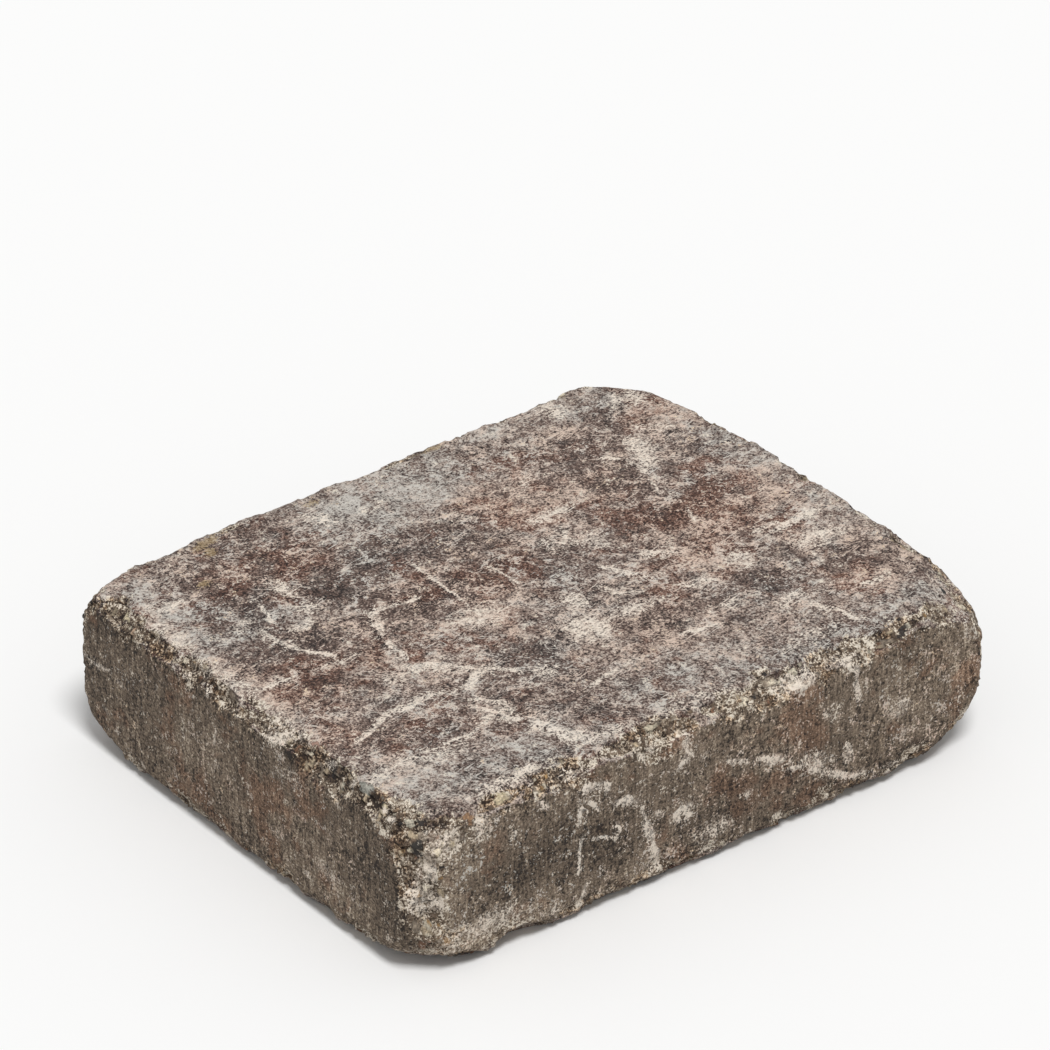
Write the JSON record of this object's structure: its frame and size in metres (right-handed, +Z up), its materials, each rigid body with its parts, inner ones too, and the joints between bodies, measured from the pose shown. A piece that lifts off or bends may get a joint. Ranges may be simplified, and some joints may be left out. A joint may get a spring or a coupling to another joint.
{
  "type": "concrete paver",
  "caption": "Rectangular tumbled concrete paver with bitten, rounded arrises and worn corners, laid flat on its bed face.",
  "frame": {"origin": "under the middle of the paver's box, on the bed face", "axes": "+X along the length, +Y along the width, +Z up through the thickness"},
  "size_m": [0.2, 0.16, 0.05],
  "materials": {
    "concrete": "matt, mottled grey and reddish brown, with pale lime scratches"
  },
  "bodies": {
    "root": {"paver": "concrete"}
  },
  "joints": []
}
